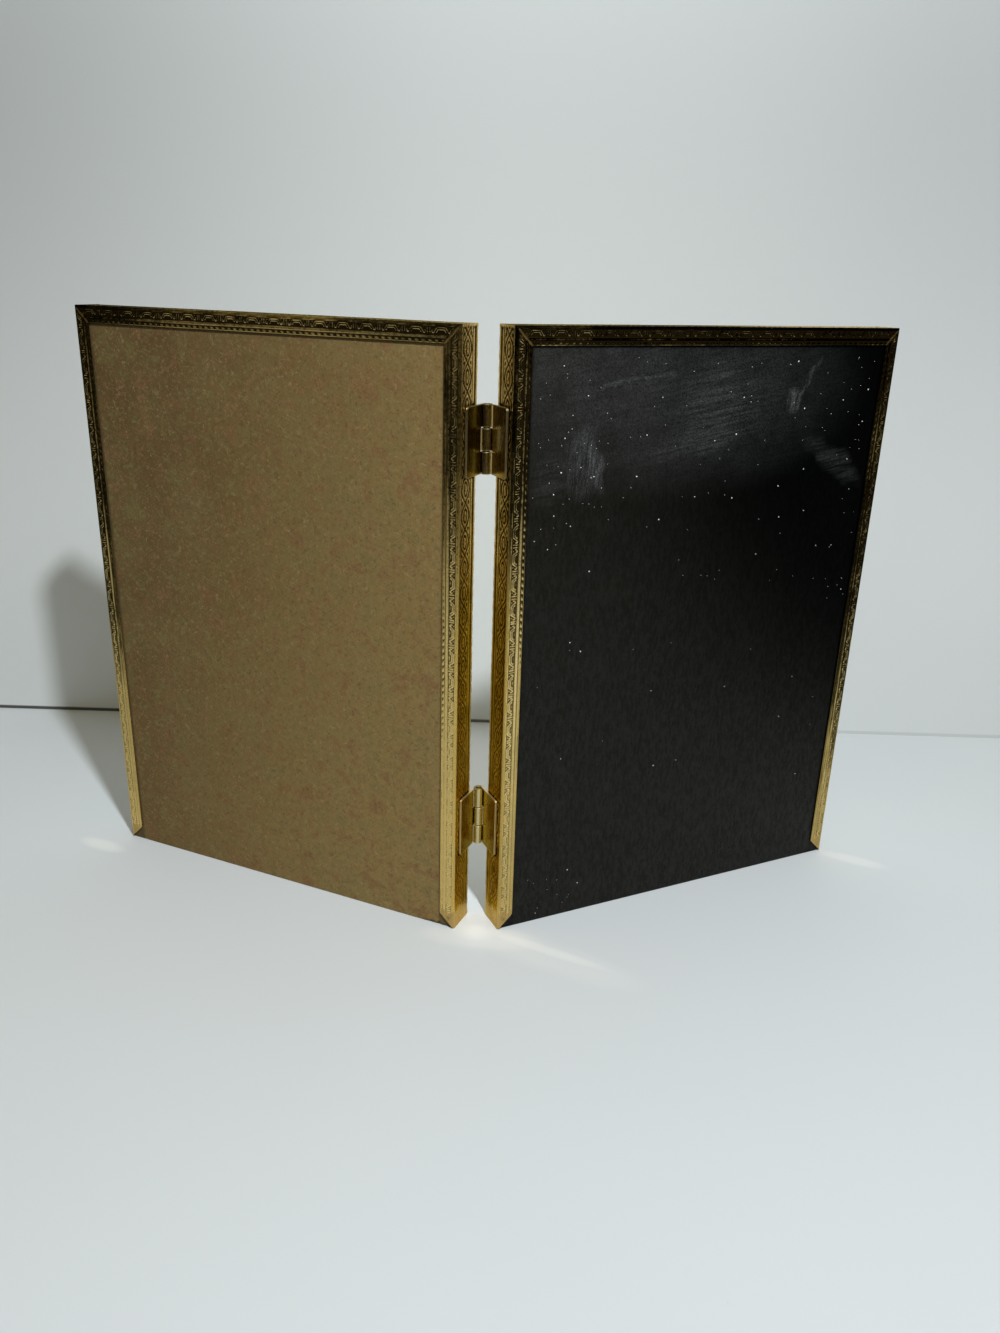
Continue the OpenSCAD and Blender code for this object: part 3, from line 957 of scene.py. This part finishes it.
def leaf_section():
    """A leaf's outer face in section, the way to its inner face, and how many points are on its plate.

    The points go from the plate's free edge to the end of the rolled knuckle.
    """
    plate_w = HINGE_REACH - KNUCKLE_R - NOTCH_GAP
    flat = [(KNUCKLE_R, y - HINGE_REACH) for y in (0, 0.2, 0.45, 0.8, 2.5, 4.5, 6.5, 7.6, plate_w)]
    neck = [(KNUCKLE_R, -1.2), (KNUCKLE_R, -0.6)]
    path = np.concatenate([flat, neck, arc_points((0, 0), KNUCKLE_R, 0, ROLL_END, 46)])
    inward = np.tile([-LEAF_T, 0.0], (len(path), 1))
    turned = np.linalg.norm(path, axis=1) < KNUCKLE_R + 1e-6
    turned[:len(flat)] = False
    inward[turned] = -LEAF_T * path[turned] / KNUCKLE_R
    return path, inward, len(flat)


def leaf_columns(knuckle_ends):
    """Places along a leaf, with more of them close to its ends and its knuckles' ends."""
    near = {end + away for end in {0.0, HINGE_LEN, *knuckle_ends} for away in (-0.4, -0.13, 0, 0.13, 0.4)}
    places = near | {k * HINGE_LEN / 20 for k in range(1, 20)}
    return np.array(sorted({round(place, 4) for place in places if 0 <= place <= HINGE_LEN}))


def leaf_cells(rows, columns, on_plate, starts, stops):
    """Faces of a leaf's outer side: the whole plate, and the roll at the leaf's own knuckles only."""
    middle = (columns[1:] + columns[:-1]) / 2
    in_knuckle = sum((start < middle) & (middle < stop) for start, stop in zip(starts, stops)) > 0
    kept = (np.arange(rows - 1)[:, None] < on_plate - 1) | in_knuckle
    return quads(np.arange(rows * len(columns)).reshape(rows, -1))[kept].tolist()


def thickened(cells, count):
    """Faces of a sheet made solid: its cells, the same ones count points on, and the walls between."""
    edges = {(a, b) for cell in cells for a, b in zip(cell, cell[1:] + cell[:1])}
    walls = [[a, a + count, b + count, b] for a, b in sorted(edges) if (b, a) not in edges]
    return cells + [[k + count for k in cell[::-1]] for cell in cells] + walls


def leaf_fields(columns, from_free_edge, on_plate, knuckle_ends):
    """How close each point is to a cut edge, how far on in the roll, and the painted shade on the roll's
    ends.
    """
    row = np.arange(len(from_free_edge))[:, None]
    from_end = np.minimum(columns, HINGE_LEN - columns)[None, :]
    from_knuckle_end = np.abs(columns[:, None] - np.array(knuckle_ends)).min(axis=1)[None, :]
    from_cut = np.where(row < on_plate, np.minimum(from_end, from_free_edge[:, None]), from_knuckle_end)
    rolled = smooth_step(row, on_plate + 1, on_plate + 8) + 0 * from_end
    fields = {
        "rim": smooth_step(from_cut, 0.42, 0.1),
        "rolled": rolled,
        # Painted shade on the roll's very ends
        "sooty": 0.7 * rolled * (from_end < 0.05),
    }
    return {name: np.tile(values.ravel(), 2) for name, values in fields.items()}


def soften_edges(thing, width):
    soften = thing.modifiers.new("soft_edges", "BEVEL")
    soften.width = width * MM
    soften.segments = 2
    soften.angle_limit = radians(50)
    soften.limit_method = "ANGLE"


def make_leaf(hinge, side, height, own):
    """One leaf: a plate with rounded corners, rolled round the pin at its own knuckles."""
    path, inward, on_plate = leaf_section()
    starts = [k * (KNUCKLE_LEN + KNUCKLE_GAP) + KNUCKLE_TRIM * (k > 0) for k in own]
    stops = [(k + 1) * KNUCKLE_LEN + k * KNUCKLE_GAP - KNUCKLE_TRIM * (k < 2) for k in own]
    columns = leaf_columns(starts + stops)
    from_free_edge = HINGE_REACH + path[:, 1]
    corner = clamp(LEAF_CORNER_R - from_free_edge, 0, LEAF_CORNER_R)
    short = (LEAF_CORNER_R - np.sqrt(LEAF_CORNER_R ** 2 - corner ** 2))[:, None]
    levels = (short + (HINGE_LEN - 2 * short) * (columns / HINGE_LEN)[None, :]).reshape(-1, 1)
    outer = np.concatenate([np.repeat(path, len(columns), axis=0), levels], axis=1)
    inner = np.concatenate([np.repeat(path + inward, len(columns), axis=0), levels], axis=1)
    faces = thickened(leaf_cells(len(path), columns, on_plate, starts, stops), len(levels))
    used, faces = renumbered(faces)
    if side == "right":
        faces = [face[::-1] for face in faces]
    x, y, level = np.concatenate([outer, inner])[used].T
    shape = in_model(side, x - KNUCKLE_R, y + BACK_PLANE, level + height)
    fields = leaf_fields(columns, from_free_edge, on_plate, starts + stops)
    fields = {name: values[used] for name, values in fields.items()}
    leaf = add_mesh(f"{hinge}_{side}_plate", "hinge_brass", shape, faces, fields, sharp=40)
    soften_edges(leaf, 0.1)
    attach(leaf, f"{side}_frame")
    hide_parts(f"{hinge}_{side}_leaf")


def make_pin(hinge, side, height):
    """The pin, a little domed at both ends."""
    length = HINGE_LEN - 2 * PIN_RECESS
    profile = PIN_DOME + [(PIN_R, length / 2)] + [(r, length - rise) for r, rise in PIN_DOME[::-1]]
    angle = np.arange(PIN_TURNS) * 2 * pi / PIN_TURNS
    points = [(0, 0, 0)]
    for r, z in profile[1:-1]:
        points += [(r * cos(a), r * sin(a), z) for a in angle]
    points.append((0, 0, length))
    faces = []
    last_ring = len(profile) - 3
    for k in range(PIN_TURNS):
        after = (k + 1) % PIN_TURNS
        faces.append([0, 1 + after, 1 + k])
        for ring in range(last_ring):
            low = 1 + ring * PIN_TURNS
            high = low + PIN_TURNS
            faces.append([low + k, low + after, high + after, high + k])
        low = 1 + last_ring * PIN_TURNS
        faces.append([low + k, low + after, len(points) - 1])
    points = np.array(points, float)
    # Painted shade: the pin is dark all along, darkest where the knuckles hide it
    sooty = 0.6 + 0.4 * smooth_step(np.minimum(points[:, 2], length - points[:, 2]), 0.2, 0.3)
    shape = points + (0, AXIS_Y, height + PIN_RECESS)
    pin = add_mesh(f"{hinge}_domed_pin", "hinge_brass", shape, faces, {"sooty": sooty})
    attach(pin, f"{side}_frame")
    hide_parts(f"{hinge}_pin")


def one_sided(n, shader):
    """The shader where a face is seen from its front, and nothing where it is seen from behind."""
    behind = n.add("NewGeometry").outputs["Backfacing"]
    clear = n.add("BsdfTransparent").outputs[0]
    return n.add("MixShader", {0: behind, 1: shader, 2: clear}).outputs[0]


# The table's and the wall's places, as the photograph's edge line between them gives them
WALL_Y = 130.5
WALL_SLANT = 0.02
TABLE_FRONT_Y = -350.0
STAGE_HALF_W = 700.0
WALL_H = 900.0
WALL_LEFT_Y = WALL_Y + WALL_SLANT * STAGE_HALF_W
WALL_RIGHT_Y = WALL_Y - WALL_SLANT * STAGE_HALF_W

# Light that the brass throws on the table by its feet: centre, reach, turn and strength
GLINTS = [
    ((0, -30), (9, 9), 0, 0.32),
    ((2, -36), (22, 8), 6, 0.22),
    ((22, -42), (24, 2.6), 27, 0.2),
    ((24, -46), (34, 9), 27, 0.12),
    ((-134, 15), (12, 4), 26, 0.28),
    ((136, 15), (14, 4), 26, 0.22),
]


def make_table():
    """The pale table top, with painted shade a little darker in front, and the light that the brass throws
    on it.
    """
    n = new_material("pale_table")
    where = n.place()
    cloud = n.noise(where, 160, 3)
    marks = n.noise(where, 1.6, 2, 0.4)
    axes = n.axes(where)
    flat = n.add("CombineXYZ", {"X": axes["X"], "Z": axes["Y"]}).outputs[0]
    # Painted shade: the table is a little darker towards its front
    away = n.spread(axes["Y"], -0.25, WALL_Y * MM)
    paper = n.mix(away, (0.59, 0.635, 0.67), (0.625, 0.675, 0.705))
    paper = n.mix(n.spread(cloud, 0.3, 0.7, 0.0, 0.25), paper, (0.56, 0.61, 0.65))
    paper = n.mix(n.spread(marks, 0.79, 0.83, 0.0, 0.5), paper, (0.40, 0.42, 0.42))
    for centre, reach, turn, strength in GLINTS:
        glint = n.times(smear(n, flat, centre, reach, turn), strength)
        paper = n.mix(glint, paper, (0.97, 0.98, 0.95))
    n.finish(one_sided(n, n.principled({
        "Base Color": paper, "Roughness": 0.75, "Specular IOR Level": 0.2,
    })))
    return add_mesh("table", "pale_table", [
        (-STAGE_HALF_W, TABLE_FRONT_Y, 0), (STAGE_HALF_W, TABLE_FRONT_Y, 0),
        (STAGE_HALF_W, WALL_RIGHT_Y, 0), (-STAGE_HALF_W, WALL_LEFT_Y, 0),
    ], [(0, 1, 2, 3)])


def make_wall():
    """The pale wall, with painted light brighter low down and in the middle, and a painted shadow in the
    gap over the table's far edge.
    """
    n = new_material("pale_wall")
    where = n.place()
    cloud = n.noise(where, 220, 3)
    axes = n.axes(where)
    # Painted light: the wall is brighter low down and in the middle
    aside = n.spread(n.math("ABSOLUTE", n.plus(axes["X"], 0.01)), 0.0, 0.21)
    high = n.mix(aside, (0.59, 0.63, 0.635), (0.455, 0.485, 0.487))
    low = n.mix(aside, (0.86, 0.905, 0.90), (0.71, 0.75, 0.76))
    paint = n.mix(n.spread(axes["Z"], 0.28, 0.06), high, low)
    paint = n.mix(n.spread(cloud, 0.3, 0.7, 0.0, 0.15), paint, (0.60, 0.64, 0.65))
    # Painted shadow of the gap between table and wall, darker on the left
    gap = n.spread(axes["Z"], 1.8 * MM, 1.2 * MM)
    left_part = n.spread(axes["X"], 0.10, -0.03, 0.15, 0.9)
    paint = n.mix(n.times(gap, left_part), paint, (0.02, 0.02, 0.018))
    n.finish(one_sided(n, n.principled({
        "Base Color": paint, "Roughness": 0.8, "Specular IOR Level": 0.2,
    })))
    return add_mesh("wall", "pale_wall", [
        (-STAGE_HALF_W, WALL_LEFT_Y, 0), (STAGE_HALF_W, WALL_RIGHT_Y, 0),
        (STAGE_HALF_W, WALL_RIGHT_Y, WALL_H), (-STAGE_HALF_W, WALL_LEFT_Y, WALL_H),
    ], [(0, 1, 2, 3)])


def make_stage():
    table = make_table()
    wall = make_wall()


# The lamp, where the photograph's shadows put it
KEY_PLACE = Vector((112, -352, 588)) * MM
KEY_AIM = Vector((0, 0, 90)) * MM
KEY_SIZE = 36 * MM
KEY_LEVEL = 1.03
KEY_COLOUR = (0.945, 0.975, 1.0)

# A small lamp behind, for the light that comes back to the table between the frames
BACK_PLACE = Vector((0, 58, 450)) * MM
BACK_AIM = Vector((0, 50, 0)) * MM
BACK_CONE = radians(26)
BACK_SIZE = 20 * MM
BACK_WATTS = 2.4
BACK_COLOUR = (1.0, 0.93, 0.78)

# The room's light, from below and from above, and the pale room that the camera alone sees
ROOM_BELOW = (0.033, 0.026, 0.015)
ROOM_ABOVE = (0.405, 0.345, 0.235)
PALE_ROOM = (0.58, 0.62, 0.63)


def aimed(name, lamp, place, target):
    """A light at its place, turned to its target and hidden from the camera."""
    light = bpy.data.objects.new(name, lamp)
    light.location = place
    light.rotation_euler = (place - target).to_track_quat("Z", "Y").to_euler()
    light.visible_camera = False
    bpy.context.scene.collection.objects.link(light)


def make_lights():
    key = bpy.data.lights.new("key", "AREA")
    key.shape = "DISK"
    key.size = KEY_SIZE
    key.energy = KEY_LEVEL * (pi * (KEY_PLACE - KEY_AIM).length) ** 2
    key.color = KEY_COLOUR
    aimed("key", key, KEY_PLACE, KEY_AIM)
    back = bpy.data.lights.new("back", "SPOT")
    back.spot_size = BACK_CONE
    back.spot_blend = 1.0
    back.shadow_soft_size = BACK_SIZE
    back.energy = BACK_WATTS
    back.color = BACK_COLOUR
    aimed("back", back, BACK_PLACE, BACK_AIM)


def make_room():
    world = bpy.data.worlds.new("room")
    bpy.context.scene.world = world
    n = Nodes(world)
    up = n.axes(n.add("TexCoord").outputs["Generated"])["Z"]
    room = n.mix(n.spread(up, 0.05, 0.8), ROOM_BELOW, ROOM_ABOVE)
    seen = n.add("LightPath").outputs["Is Camera Ray"]
    glow = n.add("Background", {"Color": n.mix(seen, room, PALE_ROOM), "Strength": 1.0}).outputs[0]
    n.add("OutputWorld", {"Surface": glow})


# The camera, as fitted to the photograph
CAMERA_PLACE = (0.77, -310.98, 194.8)
CAMERA_YAW = radians(-0.94)
CAMERA_PITCH = radians(-20.71)
CAMERA_ROLL = radians(-1.67)
CAMERA_LENS = 28.1


def make_camera():
    lens = bpy.data.cameras.new("camera")
    lens.lens = CAMERA_LENS
    lens.clip_start = 0.01
    camera = bpy.data.objects.new("camera", lens)
    turn = (Matrix.Rotation(CAMERA_YAW, 3, "Z") @ Matrix.Rotation(CAMERA_PITCH, 3, "X")
            @ Matrix.Rotation(CAMERA_ROLL, 3, "Y"))
    right, forward, up = turn.col
    basis = Matrix((right, up, -forward)).transposed().to_4x4()
    camera.matrix_world = Matrix.Translation(Vector(CAMERA_PLACE) * MM) @ basis
    bpy.context.scene.collection.objects.link(camera)
    bpy.context.scene.camera = camera


# Each hinge's foot, the knuckles that belong to each of its leaves, and the frame its pin rides with
HINGES = {
    "upper_hinge": (UPPER_HINGE_Z, {"left": [0, 2], "right": [1]}, "left"),
    "lower_hinge": (LOWER_HINGE_Z, {"left": [1], "right": [0, 2]}, "right"),
}

make_camera()
make_lights()
make_room()
make_stage()
make_moulding_brass()
make_hinge_brass()
make_brown_board()
make_black_board()
make_dust()
make_cards()
make_clear_glass()

for side_number, side_name in enumerate(SIDES):
    for rail_number, rail_kind in enumerate(RAILS):
        make_rail(side_name, rail_kind, 100 * side_number + 10 * rail_number + 5)
    for node_name in ("glass", "photo_card", "filler_card"):
        slot_name = "clear_glass" if node_name == "glass" else node_name
        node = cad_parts[f"{side_name}_{node_name}"]
        node.data.materials.clear()
        node.data.materials.append(MATERIALS[slot_name])
make_board("left", "brown_board", 1.0)
make_board("right", "black_board", 0.0)
make_dust_specks()
for hinge_name, (hinge_z, knuckles, pin_side) in HINGES.items():
    for side_name in SIDES:
        make_leaf(hinge_name, side_name, hinge_z, knuckles[side_name])
for hinge_name, (hinge_z, knuckles, pin_side) in HINGES.items():
    make_pin(hinge_name, pin_side, hinge_z)

bpy.context.scene.view_settings.view_transform = "Standard"
